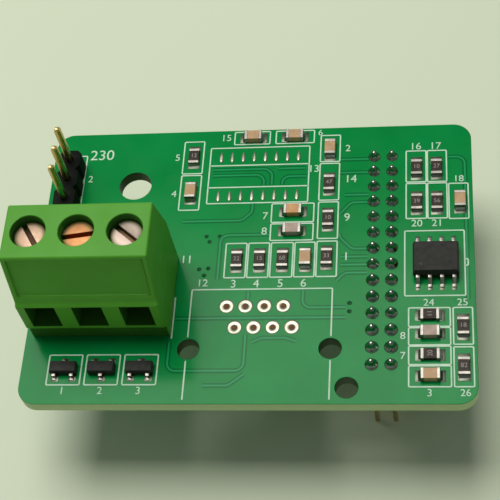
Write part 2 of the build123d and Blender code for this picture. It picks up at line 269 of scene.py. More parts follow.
def makeSetOutTree():
    # sets a shape out on points, each with its own turn, and a little uneven if asked
    tree, parts = makeTree("setOut", [
        ("Shape", "Object", None), ("Finish", "Material", None), ("Size Spread", "Float", 0.0),
        ("Turn Spread", "Float", 0.0), ("Seed", "Int", 1),
    ], {
        "given": "NodeGroupInput", "result": "NodeGroupOutput", "points": "GeometryNodeMeshToPoints",
        "shape": "GeometryNodeObjectInfo", "instance": "GeometryNodeInstanceOnPoints",
        "turn": "GeometryNodeInputNamedAttribute", "lowSize": "ShaderNodeMath",
        "size": "FunctionNodeRandomValue", "spread": "FunctionNodeRandomValue", "added": "ShaderNodeMath",
        "turns": "ShaderNodeCombineXYZ", "realize": "GeometryNodeRealizeInstances",
        "finish": "GeometryNodeSetMaterial",
    }, [("lowSize", "operation", "SUBTRACT")], [
        "given.Geometry > points.Mesh", "given.Shape > shape.Object", "points.Points > instance.Points",
        "shape.Geometry > instance.Instance", "given.Size Spread > lowSize.1", "lowSize.0 > size.2",
        "given.Seed > size.Seed", "given.Turn Spread > spread.3", "given.Seed > spread.Seed",
        "turn.0 > added.0", "spread.1 > added.1", "added.0 > turns.Z", "turns.0 > instance.Rotation",
        "size.1 > instance.Scale", "instance.Instances > realize.Geometry",
        "realize.Geometry > finish.Geometry", "given.Finish > finish.Material",
        "finish.Geometry > result.Geometry",
    ])
    parts["turn"].inputs["Name"].default_value = "turn"
    parts["lowSize"].inputs[0].default_value = 1.0
    return tree


def makeRibbonTree():
    # lays a flat ribbon along lines, with rounded corners, for ink lines and copper tracks
    tree, parts = makeTree("ribbon", [
        ("Width", "Float", 0.2 * mm), ("Thickness", "Float", 0.02 * mm), ("Corner Radius", "Float", 0.1 * mm),
        ("Corner Steps", "Int", 3), ("Finish", "Material", None),
    ], {
        "given": "NodeGroupInput", "result": "NodeGroupOutput", "curve": "GeometryNodeMeshToCurve",
        "corner": "GeometryNodeFilletCurve", "normal": "GeometryNodeSetCurveNormal",
        "section": "GeometryNodeCurvePrimitiveQuadrilateral", "sweep": "GeometryNodeCurveToMesh",
        "realize": "GeometryNodeRealizeInstances", "finish": "GeometryNodeSetMaterial",
    }, [("corner", "mode", "POLY"), ("normal", "mode", "Z_UP")], [
        "given.Geometry > curve.Mesh", "curve.Curve > corner.Curve", "given.Corner Radius > corner.Radius",
        "given.Corner Steps > corner.Count", "corner.Curve > normal.Curve", "normal.Curve > sweep.Curve",
        "given.Width > section.Width", "given.Thickness > section.Height",
        "section.Curve > sweep.Profile Curve", "sweep.Mesh > realize.Geometry",
        "realize.Geometry > finish.Geometry", "given.Finish > finish.Material",
        "finish.Geometry > result.Geometry",
    ])
    parts["corner"].inputs["Limit Radius"].default_value = True
    parts["sweep"].inputs["Fill Caps"].default_value = True
    return tree


def grow(name, tree, base, values):
    # runs a tree on a base mesh and keeps the result as a plain mesh
    holder = keepPiece(name, base)
    modifier = holder.modifiers.new("growth", "NODES")
    modifier.node_group = tree
    for item in tree.interface.items_tree:
        if item.item_type == "SOCKET" and item.in_out == "INPUT" and item.name in values:
            modifier[item.identifier] = values[item.name]
    return settled(holder)


def setOut(name, shapeMesh, places, material, sizeSpread=0.0, turnSpread=0.0, seed=1):
    # places are (point, turn) pairs
    base = bpy.data.meshes.new(name)
    base.from_pydata([tuple(point) for point, _ in places], [], [])
    base.attributes.new("turn", "FLOAT", "POINT").data.foreach_set("value", [turn for _, turn in places])
    shape = keepPiece(name + "Shape", shapeMesh)
    piece = grow(name, setOutTree, base, {
        "Shape": shape, "Finish": finish[material], "Size Spread": sizeSpread, "Turn Spread": turnSpread,
        "Seed": seed})
    bpy.data.objects.remove(shape)
    attribute = piece.data.attributes.get("turn")
    if attribute:
        piece.data.attributes.remove(attribute)
    return piece


def drawLines(name, lines, width, thickness, corner, steps, material):
    # lines are (points, closed) pairs
    base = bpy.data.meshes.new(name)
    points, edges = [], []
    for line, closed in lines:
        first = len(points)
        points += [tuple(spot(x, y)) for x, y in line]
        edges += [(first + i, first + i + 1) for i in range(len(line) - 1)]
        if closed:
            edges.append((len(points) - 1, first))
    base.from_pydata(points, edges, [])
    piece = grow(name, ribbonTree, base, {
        "Width": width * mm, "Thickness": thickness * mm, "Corner Radius": corner * mm,
        "Corner Steps": steps, "Finish": finish[material]})
    bm = bmesh.new()
    bm.from_mesh(piece.data)
    bmesh.ops.recalc_face_normals(bm, faces=bm.faces)
    bm.to_mesh(piece.data)
    bm.free()
    piece.data.shade_flat()
    finishPiece(piece, "solder_mask")


setOutTree = makeSetOutTree()
ribbonTree = makeRibbonTree()


# finishes
def addNode(tree, kind, settings=None, inputs=None):
    # an input is a value or the socket that feeds it
    node = tree.nodes.new(kind)
    for key, value in (settings or {}).items():
        setattr(node, key, value)
    for key, value in (inputs or {}).items():
        if isinstance(value, bpy.types.NodeSocket):
            tree.links.new(value, node.inputs[key])
        else:
            node.inputs[key].default_value = value
    return node


def startFinish(name, metallic, specular):
    material = finish[name] = bpy.data.materials.new(name)
    material.use_nodes = True
    tree = material.node_tree
    shader = tree.nodes["Principled BSDF"]
    shader.inputs["Metallic"].default_value = metallic
    shader.inputs["Specular IOR Level"].default_value = specular
    return tree, shader, addNode(tree, "ShaderNodeTexCoord").outputs["Object"]


def mottle(tree, place, scale, detail=3.0, rough=0.55):
    return addNode(tree, "ShaderNodeTexNoise", inputs={
        "Vector": place, "Scale": scale, "Detail": detail, "Roughness": rough}).outputs["Fac"]


def spreadRange(tree, value, low, high, fromLow=0.3, fromHigh=0.7):
    return addNode(tree, "ShaderNodeMapRange", inputs={
        "Value": value, "From Min": fromLow, "From Max": fromHigh, "To Min": low, "To Max": high,
    }).outputs["Result"]


def mixColours(tree, factor, first, second):
    first, second = ((*value, 1.0) if isinstance(value, tuple) else value for value in (first, second))
    return addNode(tree, "ShaderNodeMix", {"data_type": "RGBA"}, {0: factor, 6: first, 7: second}).outputs[2]


def waves(tree, place, pitch, kind, axis, distortion, detail, detailScale=1.0):
    # bands or rings that repeat at a pitch in millimetres
    settings = {"wave_type": kind, kind.lower() + "_direction": axis}
    return addNode(tree, "ShaderNodeTexWave", settings, {
        "Vector": place, "Scale": waveStep / (pitch * mm), "Distortion": distortion, "Detail": detail,
        "Detail Scale": detailScale}).outputs["Fac"]


def multiply(tree, first, second):
    return addNode(tree, "ShaderNodeMath", {"operation": "MULTIPLY"}, {0: first, 1: second}).outputs[0]


def raiseBump(tree, shader, height, strength, distance, under=None):
    inputs = {"Height": height, "Strength": strength, "Distance": distance * mm}
    if under:
        inputs["Normal"] = under
    normal = addNode(tree, "ShaderNodeBump", inputs=inputs).outputs["Normal"]
    tree.links.new(normal, shader.inputs["Normal"])
    return normal


def layColours(tree, shader, place, first, second, roughness, patchScale, glossScale):
    # two close colours in soft patches and an uneven gloss
    factor = spreadRange(tree, mottle(tree, place, patchScale), 0.0, 1.0)
    colour = mixColours(tree, factor, first, second)
    tree.links.new(colour, shader.inputs["Base Color"])
    tree.links.new(spreadRange(tree, mottle(tree, place, glossScale), *roughness), shader.inputs["Roughness"])
    return colour


glossRatio = 1.7  # how much finer the patches of gloss are than those of colour
grainDetail = 2.0
blockGrain, tinGrain, epoxyGrain, ceramicGrain = (
    (5200, 0.10, 0.02), (2600, 0.25, 0.03), (9000, 0.45, 0.03), (7000, 0.35, 0.02))
# two colours, roughness from and to, patch scale, grain (scale, strength, depth), metallic, specular
plainLooks = {
    "blockPlastic": ((0.070, 0.300, 0.018), (0.080, 0.330, 0.024), (0.42, 0.52), 240, blockGrain, 0, 0.22),
    # the front panel's own copy of the block plastic, coloured and glossed for how light falls on it: painted
    # light
    "panelPlastic": ((0.078, 0.310, 0.028), (0.088, 0.340, 0.034), (0.6, 0.7), 240, blockGrain, 0, 0.22),
    # a darker copy of the block plastic: painted shade in the wells, wire entries and undercut foot
    "innerPlastic": ((0.018, 0.105, 0.006), (0.026, 0.135, 0.010), (0.6, 0.7), 240, blockGrain, 0, 0.22),
    "whiteInk": ((0.44, 0.64, 0.48), (0.56, 0.74, 0.59), (0.5, 0.65), 900, (6000, 0.15, 0.01), 0, 0.5),
    "dullTin": ((0.23, 0.22, 0.20), (0.33, 0.31, 0.28), (0.34, 0.46), 900, tinGrain, 1, 0.5),
    # a darker copy of the dull tin: painted shade behind the surge diodes
    "stainedTin": ((0.07, 0.08, 0.06), (0.14, 0.15, 0.12), (0.34, 0.46), 900, tinGrain, 1, 0.5),
    "padTin": ((0.26, 0.27, 0.21), (0.42, 0.43, 0.34), (0.34, 0.46), 700, tinGrain, 1, 0.5),
    "barrelTin": ((0.70, 0.50, 0.38), (0.85, 0.66, 0.52), (0.34, 0.46), 900, tinGrain, 0, 0.4),
    "shinySolder": ((0.17, 0.20, 0.17), (0.29, 0.33, 0.29), (0.16, 0.28), 1200, (1800, 0.30, 0.05), 1, 0.5),
    "goldFlash": ((0.50, 0.36, 0.14), (0.64, 0.48, 0.22), (0.20, 0.32), 700, (4000, 0.12, 0.02), 1, 0.5),
    "headerPlastic": (
        (0.003, 0.004, 0.003), (0.006, 0.008, 0.006), (0.5, 0.62), 500, (5000, 0.2, 0.02), 0, 0.07),
    "chipEpoxy": ((0.014, 0.014, 0.013), (0.026, 0.026, 0.024), (0.46, 0.58), 1500, epoxyGrain, 0, 0.16),
    "dotEpoxy": ((0.010, 0.010, 0.009), (0.026, 0.026, 0.024), (0.3, 0.4), 1500, epoxyGrain, 0, 0.16),
    "darkGlaze": (
        (0.022, 0.015, 0.012), (0.045, 0.030, 0.024), (0.38, 0.5), 1600, (4000, 0.15, 0.02), 0, 0.16),
    "markInk": ((0.22, 0.20, 0.18), (0.32, 0.29, 0.26), (0.5, 0.6), 2500, (6000, 0.1, 0.01), 0, 0.3),
    "tanCeramic": ((0.40, 0.24, 0.12), (0.52, 0.33, 0.18), (0.40, 0.52), 1300, ceramicGrain, 0, 0.3),
    "orangeCeramic": ((0.48, 0.23, 0.08), (0.60, 0.33, 0.14), (0.40, 0.52), 1300, ceramicGrain, 0, 0.3),
    "greyCeramic": ((0.34, 0.25, 0.20), (0.44, 0.34, 0.29), (0.40, 0.52), 1300, ceramicGrain, 0, 0.3),
    "clampNickel": ((0.40, 0.39, 0.36), (0.52, 0.51, 0.48), (0.30, 0.42), 500, (3000, 0.2, 0.02), 1, 0.5),
    "stripTin": ((0.50, 0.45, 0.33), (0.62, 0.57, 0.44), (0.28, 0.42), 600, (3000, 0.2, 0.02), 1, 0.5),
    "floorPaper": ((0.610, 0.680, 0.520), (0.640, 0.705, 0.550), (0.55, 0.65), 6, (900, 0.03, 0.05), 0, 0.3),
}


def plainFinish(name, first, second, roughness, patchScale, grain, metallic, specular):
    tree, shader, place = startFinish(name, metallic, specular)
    layColours(tree, shader, place, first, second, roughness, patchScale, patchScale * glossRatio)
    scale, strength, depth = grain
    raiseBump(tree, shader, mottle(tree, place, scale, grainDetail), strength, depth)


# green lacquer; the glass weave of the laminate just shows through it
maskLook = {
    "roughness": (0.13, 0.19), "patchScale": 160.0, "glossScale": 420.0, "weavePitch": 0.55, "weave": 0.03,
    "weaveDepth": 0.02, "weaveWaver": (0.6, 1.0), "specular": 0.085, "flow": (260.0, 0.04, 0.03),
    "colours": {
        "boardLacquer": ((0.001, 0.205, 0.042), (0.002, 0.240, 0.054)),
        "trackLacquer": ((0.010, 0.270, 0.085), (0.014, 0.300, 0.100)),
        "gapLacquer": ((0.001, 0.125, 0.030), (0.001, 0.145, 0.036)),
        "viaLacquer": ((0.001, 0.045, 0.012), (0.002, 0.065, 0.018)),
    },
}


def lacquerFinish(name, first, second):
    look = maskLook
    tree, shader, place = startFinish(name, 0.0, look["specular"])
    layColours(tree, shader, place, first, second, look["roughness"], look["patchScale"], look["glossScale"])
    warp, weft = (waves(tree, place, look["weavePitch"], "BANDS", axis, *look["weaveWaver"]) for axis in "XY")
    under = raiseBump(tree, shader, multiply(tree, warp, weft), look["weave"], look["weaveDepth"])
    scale, strength, depth = look["flow"]
    raiseBump(tree, shader, mottle(tree, place, scale, grainDetail), strength, depth, under)


# sawn laminate: pale layers of glass cloth and resin, with a dark green version on the walls of the holes as
# painted shade
laminateLooks = {
    "laminateEdge": {"colours": ((0.36, 0.50, 0.23), (0.49, 0.65, 0.33)), "pitch": 0.2, "roughness": 0.55},
    "holeWall": {"colours": ((0.030, 0.075, 0.020), (0.070, 0.120, 0.040)), "pitch": 0.3, "roughness": 0.6},
}
fibreLook = {"fibres": (900.0, 3.0, 0.7), "layerWaver": (2.0, 2.0, 3.0), "strength": 0.3, "depth": 0.04}


def laminateFinish(name, look):
    tree, shader, place = startFinish(name, 0.0, 0.5)
    s = fibreLook
    layers = waves(tree, place, look["pitch"], "BANDS", "Z", *s["layerWaver"])
    blend = multiply(tree, layers, mottle(tree, place, *s["fibres"]))
    tree.links.new(mixColours(tree, blend, *look["colours"]), shader.inputs["Base Color"])
    shader.inputs["Roughness"].default_value = look["roughness"]
    raiseBump(tree, shader, blend, s["strength"], s["depth"])


for name, look in plainLooks.items():
    plainFinish(name, *look)
for name, colours in maskLook["colours"].items():
    lacquerFinish(name, *colours)
for name, look in laminateLooks.items():
    laminateFinish(name, look)
print("finishes made")


# circuit board
boardSizes = {
    "cornerRadius": 2.0, "cornerSteps": 10, "rimRadius": 0.06,
    "mountingHole": (10.0, 27.3, 1.85),
    "postHoles": [(17.9, 6.35, 1.2), (32.9, 6.35, 1.2), (34.7, 1.85, 1.2)],
    "holeSteps": {"mounting": 64, "post": 48, "jack": 28, "via": 16}, "viaRadius": 0.22,
    "vias": [(18.8, 20.3), (20.3, 20.3), (19.2, 19.6), (18.3, 16.1), (19.3, 16.2), (18.9, 15.3),
             (34.8, 10.7), (34.8, 11.7)],
    "jackCentre": 25.22, "jackRow": 11.45, "jackPitch": 1.02, "jackGap": 2.57, "jackHole": 0.42,
    "jackCount": 8,
}


def jackPlaces():
    s = boardSizes
    pitch, count = s["jackPitch"], s["jackCount"]
    first = s["jackCentre"] - (count - 1) / 2 * pitch
    return [(first + i * pitch, s["jackRow"] - s["jackGap"] * (i % 2)) for i in range(count)]


def circleLoop(x, y, radius, steps):
    # (point, direction out of the laminate) pairs round a hole
    loop = []
    for i in range(steps):
        angle = 2 * math.pi * i / steps
        out = Vector((-math.cos(angle), -math.sin(angle), 0))
        loop.append((spot(x, y) - out * radius * mm, out))
    return loop


def outlineLoop(s):
    width = (boardHigh.x - boardLow.x) / mm
    depth = (boardHigh.y - boardLow.y) / mm
    r = s["cornerRadius"]
    loop = []
    for x, y, start in ((width - r, depth - r, 0), (r, depth - r, 90), (r, r, 180), (width - r, r, 270)):
        for i in range(s["cornerSteps"] + 1):
            angle = math.radians(start + 90 * i / s["cornerSteps"])
            out = Vector((math.cos(angle), math.sin(angle), 0))
            loop.append((spot(x, y) + out * r * mm, out))
    return loop


def rimLayers(s):
    # (distance drawn in from the wall, height, how far the surface leans over) up the plate's rounded edge
    r = s["rimRadius"] * mm
    slack = 1 - math.sqrt(0.5)
    up = [(r, 0, 1), (slack * r, slack * r, math.sqrt(0.5)), (0, r, 0)]
    return ([(inset, boardUnder + z, -lean) for inset, z, lean in up]
            + [(inset, boardTop - z, lean) for inset, z, lean in reversed(up)])


def makeBoard():
    s = boardSizes
    steps = s["holeSteps"]
    # material of each wall: 1 the sawn edge, 2 a drilled hole, in painted shade, 3 a via
    loops = [(outlineLoop(s), 1), (circleLoop(*s["mountingHole"], steps["mounting"]), 2)]
    loops += [(circleLoop(*hole, steps["post"]), 2) for hole in s["postHoles"]]
    loops += [(circleLoop(x, y, s["viaRadius"], steps["via"]), 3) for x, y in s["vias"]]
    loops += [(circleLoop(x, y, s["jackHole"], steps["jack"]), 2) for x, y in jackPlaces()]
    bm = bmesh.new()
    normals = []
    ends = ([], [])
    for loop, zone in loops:
        rings = []
        for inset, height, lean in rimLayers(s):
            ring = []
            for point, out in loop:
                at = point - out * inset
                ring.append(bm.verts.new((at.x, at.y, height)))
                normals.append(out * math.sqrt(1 - lean * lean) + Vector((0, 0, lean)))
            rings.append(ring)
        count = len(loop)
        for step, (lower, upper) in enumerate(zip(rings, rings[1:])):
            for i in range(count):
                face = bm.faces.new((lower[i], lower[(i + 1) % count], upper[(i + 1) % count], upper[i]))
                face.material_index = zone if step == 2 else 0
        for ring, edges in ((rings[0], ends[0]), (rings[-1], ends[1])):
            edges += [bm.edges.get((ring[i], ring[(i + 1) % count])) for i in range(count)]
    for edges in ends:
        bmesh.ops.triangle_fill(bm, use_beauty=True, use_dissolve=False, edges=edges)
    bmesh.ops.recalc_face_normals(bm, faces=bm.faces)
    bm.verts.index_update()
    board = keepPiece("boardPlate", meshFrom("boardPlate", bm),
                      "boardLacquer", "laminateEdge", "holeWall", "viaLacquer")
    board.data.normals_split_custom_set_from_vertices(normals)
    finishPiece(board, "solder_mask", "circuit_board")


# lacquer that has run into the small through-holes; heights are down from the board's face
plugSizes = {
    "overlap": 0.02, "depth": 0.30, "shoulder": 0.05, "dish": (0.6, 0.10), "middle": 0.12, "steps": 16,
}


def makeViaPlugs():
    s = plugSizes
    radius = boardSizes["viaRadius"]
    outer = radius + s["overlap"]
    share, dishDepth = s["dish"]
    plug = turnedMesh("viaPlug", [(0, -s["depth"]), (outer, -s["depth"]), (outer, -s["shoulder"]),
                                  (radius * share, -dishDepth), (0, -s["middle"])], s["steps"])
    plugs = setOut("viaPlugs", plug, [(spot(x, y), 0.0) for x, y in boardSizes["vias"]], "viaLacquer")
    finishPiece(plugs, "solder_mask")


makeBoard()
makeViaPlugs()
print("board made")


# copper tracks under the lacquer
trackSizes = {
    "cornerSteps": 6, "corner": 0.9,
    "layers": [("trackClearance", 0.56, 0.008, "gapLacquer"), ("copperTracks", 0.2, 0.018, "trackLacquer")],
}
tracks = [
    [(15.9, 22.3), (22.6, 22.3), (23.7, 23.4), (23.7, 24.6)],
    [(16.2, 10.0), (34.4, 10.0)],
    [(29.8, 13.3), (29.8, 11.2), (34.4, 11.2)],
    [(23.9, 13.2), (23.9, 12.2)],
    [(23.9, 8.0), (23.9, 3.8), (15.8, 3.8), (15.8, 7.2)],
    [(20.4, 14.8), (20.4, 20.4), (26.0, 20.4)],
    [(33.4, 30.2), (36.6, 30.2)],
    [(33.4, 28.4), (36.6, 28.4)],
    [(34.0, 25.4), (36.6, 25.4)],
    [(33.5, 22.9), (34.7, 24.4), (36.6, 24.4)],
    [(33.5, 20.4), (33.6, 19.8), (34.9, 18.4), (36.6, 18.4)],
    [(33.7, 17.4), (36.6, 17.4)],
    [(33.7, 16.4), (36.6, 16.4)],
    [(33.3, 14.4), (34.2, 15.4), (36.6, 15.4)],
    [(18.9, 29.2), (25.0, 29.2), (25.7, 28.6), (25.7, 27.0)],
    [(18.9, 28.4), (24.2, 28.4), (24.8, 27.8), (24.8, 27.0)],
    [(26.4, 29.2), (29.4, 29.2)],
    [(29.6, 28.1), (27.4, 28.1), (26.9, 27.6), (26.9, 27.0)],
    [(45.3, 30.2), (47.2, 30.2), (47.2, 12.0)],
    [(19.8, 2.1), (22.4, 2.1), (24.0, 3.4)],
    [(24.6, 7.1), (25.6, 7.6), (28.2, 7.6), (29.3, 7.2)],
]
corner, steps = trackSizes["corner"], trackSizes["cornerSteps"]
for name, width, rise, material in trackSizes["layers"]:
    drawLines(name, [(line, False) for line in tracks], width, 2 * rise, corner, steps, material)
print("tracks made")


# printed lines and numbers
inkSizes = {"width": 0.15, "rise": 0.045, "corner": 0.12, "cornerSteps": 2, "figureShare": 0.72}
printedFrames = [
    (15.3, 28.75, 17.6, 33.2), (15.3, 23.8, 17.6, 28.5),
    (21.1, 32.65, 25.2, 34.4), (25.9, 32.65, 30.3, 34.4),
    (31.1, 29.95, 33.3, 33.6), (31.1, 24.75, 33.3, 29.7),
    (31.1, 19.75, 33.3, 24.5), (31.1, 14.95, 33.3, 19.4),
    (25.9, 21.95, 30.6, 24.4), (25.9, 19.6, 30.6, 21.75),
    (21.1, 14.95, 23.4, 19.3), (23.6, 14.95, 25.9, 19.3),
    (26.1, 14.95, 28.5, 19.3), (28.7, 14.95, 30.9, 19.3),
    (40.75, 26.9, 42.95, 31.1), (43.1, 26.9, 45.2, 31.1),
    (40.75, 22.1, 42.95, 26.7), (43.1, 22.1, 45.2, 26.7),
    (45.4, 22.0, 47.5, 26.6),
    (41.0, 8.8, 45.3, 11.0), (41.0, 6.65, 45.3, 8.65), (41.0, 4.4, 45.3, 6.5), (41.0, 1.9, 45.3, 4.25),
    (45.6, 6.7, 47.6, 11.0), (45.6, 1.9, 47.6, 6.4),
    (3.0, 2.2, 6.6, 5.7), (7.1, 2.2, 10.7, 5.7), (11.2, 2.2, 14.8, 5.7),
    (18.45, 24.6, 29.85, 32.2), (40.6, 12.45, 46.95, 20.5), (1.35, 24.4, 3.85, 31.6),
]
printedLines = [
    [(17.75, 7.75), (17.75, 13.5), (32.95, 13.5), (32.95, 7.75)],
    [(17.75, 0.5), (17.75, 4.95)], [(32.95, 0.5), (32.95, 4.95)],
    [(18.45, 29.75), (29.85, 29.75)], [(18.45, 26.75), (29.85, 26.75)],
    [(16.0, 7.6), (16.0, 12.6)],
    [(46.95, 16.9), (47.3, 16.9), (47.3, 16.1), (46.95, 16.1)],
]
# text, x, y, height
printedNumbers = [
    ("3", 22.2, 14.15, 1.0), ("4", 24.7, 14.15, 1.0), ("5", 27.3, 14.15, 1.0), ("6", 29.8, 14.15, 1.0),
    ("11", 16.8, 17.3, 1.0), ("12", 18.8, 14.3, 0.9),
    ("7", 25.2, 22.8, 0.95), ("8", 25.2, 20.8, 0.95),
    ("14", 34.6, 27.5, 1.0), ("9", 34.3, 22.4, 1.0), ("1", 34.3, 17.4, 1.0), ("2", 34.2, 31.7, 0.9),
    ("16", 41.8, 31.7, 0.95), ("17", 44.0, 31.7, 0.95), ("20", 41.9, 21.45, 0.9), ("21", 44.1, 21.45, 0.9),
    ("18", 46.5, 27.2, 0.85), ("24", 43.1, 11.6, 0.85), ("25", 46.6, 11.6, 0.85),
    ("8", 40.4, 7.7, 0.85), ("7", 40.4, 5.4, 0.85), ("3", 43.1, 1.2, 0.85), ("26", 46.7, 1.2, 0.8),
    ("1", 4.8, 1.5, 0.85), ("2", 8.9, 1.5, 0.85), ("3", 13.0, 1.5, 0.85),
    ("13", 30.4, 29.0, 0.95), ("15", 20.1, 33.6, 0.9), ("6", 31.0, 34.0, 0.8),
    ("230", 5.6, 31.6, 1.4), ("2", 4.6, 28.3, 0.9), ("5", 14.6, 31.0, 0.9), ("4", 14.6, 26.0, 0.9),
]


def numberMesh(text, height):
    curve = bpy.data.curves.new("number", "FONT")
    curve.body = text
    curve.size = height * mm / inkSizes["figureShare"]
    curve.align_x = "CENTER"
    curve.align_y = "CENTER"
    curve.extrude = inkSizes["rise"] * mm
    holder = keepPiece("numberHolder", curve)
    mesh = settledMesh(holder)
    bpy.data.objects.remove(holder)
    return mesh


def makeInk():
    s = inkSizes
    lines = [([(x1, y1), (x2, y1), (x2, y2), (x1, y2)], True) for x1, y1, x2, y2 in printedFrames]
    lines += [(line, False) for line in printedLines]
    drawLines("printedLines", lines, s["width"], 2 * s["rise"], s["corner"], s["cornerSteps"], "whiteInk")
    numbers = [(numberMesh(text, height), Matrix.Translation(spot(x, y)))
               for text, x, y, height in printedNumbers]
    mesh = joinMeshes("printedNumbers", numbers)
    finishPiece(keepPiece("printedNumbers", mesh, "whiteInk"), "solder_mask")


makeInk()
print("ink made")


# bare rings of the jack's contacts and bare lands of the chip that isn't fitted
# a spread is how uneven repeated pieces are: (of size, of turn, seed)
bareSizes = {
    "ring": (0.85, 0.43), "ringRise": 0.05, "ringRound": 0.04, "ringLip": 0.03, "shares": (0.7, 0.8, 0.2),
    "ringSteps": 28, "ringSpread": (0.06, 6.0, 3), "barrelWall": 0.08, "barrelTilt": 0.35, "sharp": 60,
    "land": (0.62, 1.50), "landRise": 0.13, "landSpread": (0.0, 0.0, 4), "centre": (24.15, 28.25),
    "pitch": 1.27, "perRow": 8, "rowGap": 5.3,
}


def ringMesh():
    # a ring on each face of the board and the tinned barrel between them
    s = bareSizes
    outer, inner = s["ring"]
    depth = (boardTop - boardUnder) / mm
    edge, lip, foot = (share * s["ringRise"] for share in s["shares"])
    hollow = inner - s["barrelWall"]
    side = [(outer, 0), (outer - s["ringRound"], edge), ((outer + inner) / 2, s["ringRise"]),
            (inner + s["ringLip"], lip), (hollow, foot)]
    below = [(radius, -depth - rise) for radius, rise in reversed(side)]
    return turnedMesh("ring", side + below + [(inner, -depth), (inner, 0), (outer, 0)], s["ringSteps"])


# drop of tin on a long land: broad and high towards the front, thin and low towards the back
dropSizes = {
    "steps": 40, "narrowing": 0.32, "shift": 0.16, "fall": 0.45,
    "rings": [(1.0, 0.25), (0.88, 0.62), (0.64, 0.90), (0.32, 1.0)],
}


def dropMesh(width, length, rise):
    s = dropSizes
    bm = bmesh.new()
    rings = []
    for scale, height in [(1.0, None)] + s["rings"]:
        ring = []
        for i in range(s["steps"]):
            angle = 2 * math.pi * i / s["steps"]
            along = math.sin(angle)
            x = width / 2 * scale * (1 - s["narrowing"] * (along + 1)) * math.cos(angle)
            y = length / 2 * scale * along - length * s["shift"] * (1 - scale)
            z = rise * height * (1 - s["fall"] * (along * scale + 1) / 2) if height else -sunk
            ring.append(bm.verts.new((x * mm, y * mm, z * mm)))
        rings.append(ring)
    return stackedMesh("land", bm, rings)


def makeBarePads():
    s = bareSizes
    places = [(spot(x, y), 0.0) for x, y in jackPlaces()]
    rings = setOut("rings", ringMesh(), places, "padTin", *s["ringSpread"])
    x, y = s["centre"]
    places = [(spot(x + (i - (s["perRow"] - 1) / 2) * s["pitch"], y + side * s["rowGap"] / 2), 0.0)
              for i in range(s["perRow"]) for side in (-1, 1)]
    lands = setOut("lands", dropMesh(*s["land"], s["landRise"]), places, "padTin", *s["landSpread"])
    mesh = joinPieces("barePadFinish", [rings, lands], s["sharp"])
    for face in mesh.polygons:
        inBarrel = abs(face.normal.z) < s["barrelTilt"] and face.center.z < boardTop + sunk * mm
        face.material_index = 1 if inBarrel else 0
    piece = keepPiece("barePadFinish", mesh, "padTin", "barrelTin")
    finishPiece(piece, "tinned_copper", "bare_pads")


makeBarePads()
print("bare pads made")


# headers and their soldered pins; a cone is (radius, neck, height of its side, height of its tip)
stackSizes = {
    "columns": 2, "rows": 14, "pitch": 2.0, "pinEnd": 0.7, "cone": (0.74, 0.36, 0.62, 1.14),
    "spread": (0.10, 6.28, 11), "pinRound": 0.03, "baseRound": 0.06,
}
linkSizes = {"baseRound": 0.08, "pinRound": 0.04}
underSizes = {
    "link_pin": (0.85, 0.46, 0.8, 1.0), "contact_strip": (1.15, 0.62, 0.8, 1.0), "pinFromBack": 0.375,
}
coneSizes = {
    "foot": 0.02, "start": 0.03, "sideSteps": 7, "hollow": 1.8, "tipSteps": 6, "tipPower": 0.6, "steps": 20,
}


def stackPlaces():
    s = stackSizes
    centre = footOf("stack_header_pins")
    return [Vector((centre.x + (c - (s["columns"] - 1) / 2) * s["pitch"] * mm,
                    centre.y + (r - (s["rows"] - 1) / 2) * s["pitch"] * mm, boardTop))
            for r in range(s["rows"]) for c in range(s["columns"])]


def coneMesh(radius, neck, height, tip):
    # hollow-sided cone that runs up into a rounded tip
    s = coneSizes
    start = s["start"]
    points = [(0, -sunk), (radius, -sunk), (radius, s["foot"])]
    for i in range(1, s["sideSteps"] + 1):
        t = i / s["sideSteps"]
        points.append((neck + (radius - neck) * (1 - t) ** s["hollow"], start + (height - start) * t))
    for i in range(1, s["tipSteps"]):
        turn = i / s["tipSteps"] * math.pi / 2
        points.append((neck * math.cos(turn) ** s["tipPower"], height + (tip - height) * math.sin(turn)))
    return turnedMesh("cone", points + [(0, tip)], s["steps"])


def makeStackHeader():
    s = stackSizes
    joints = setOut("stackSolder", coneMesh(*s["cone"]), [(p, 0.0) for p in stackPlaces()], "shinySolder",
                    *s["spread"])
    joints.data.shade_smooth()
    finishPiece(joints, "solder", "stack_solder_joints")
    pins = softCopy("stack_header_pins", "stackPins", "goldFlash", s["pinRound"], 1)
    # the solder closes over the pins' upper ends
    for vert in pins.data.vertices:
        vert.co.z = min(vert.co.z, boardTop + s["pinEnd"] * mm)
    finishPiece(pins, "gold_pin", "stack_header_pins")
    softNode("stack_header_base", "stackBase", "headerPlastic", s["baseRound"], "header_plastic")


def makeUnderJoints():
    # joints of the three-pin header and the terminal block on the underside
    s = underSizes
    flip = Matrix.Rotation(math.pi, 4, "X")
    parts = []
    for kind in ("link_pin", "contact_strip"):
        cone = coneMesh(*s[kind])
        for number in (1, 2, 3):
            place = footOf(f"{kind}_{number}")
            place.z = boardUnder
            if kind == "contact_strip":
                place.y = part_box(f"{kind}_{number}")[1].y - s["pinFromBack"] * mm
            parts.append((cone, Matrix.Translation(place) @ flip))
    mesh = joinMeshes("underSolder", parts)
    mesh.shade_smooth()
    piece = keepPiece("underSolder", mesh, "shinySolder")
    finishPiece(piece, "solder", "underside_solder_joints")


makeStackHeader()
softNode("link_header_base", "linkBase", "headerPlastic", linkSizes["baseRound"], "header_plastic")
for number in (1, 2, 3):
    softNode(f"link_pin_{number}", f"linkPin{number}", "goldFlash", linkSizes["pinRound"], "gold_pin")
makeUnderJoints()
print("headers made")


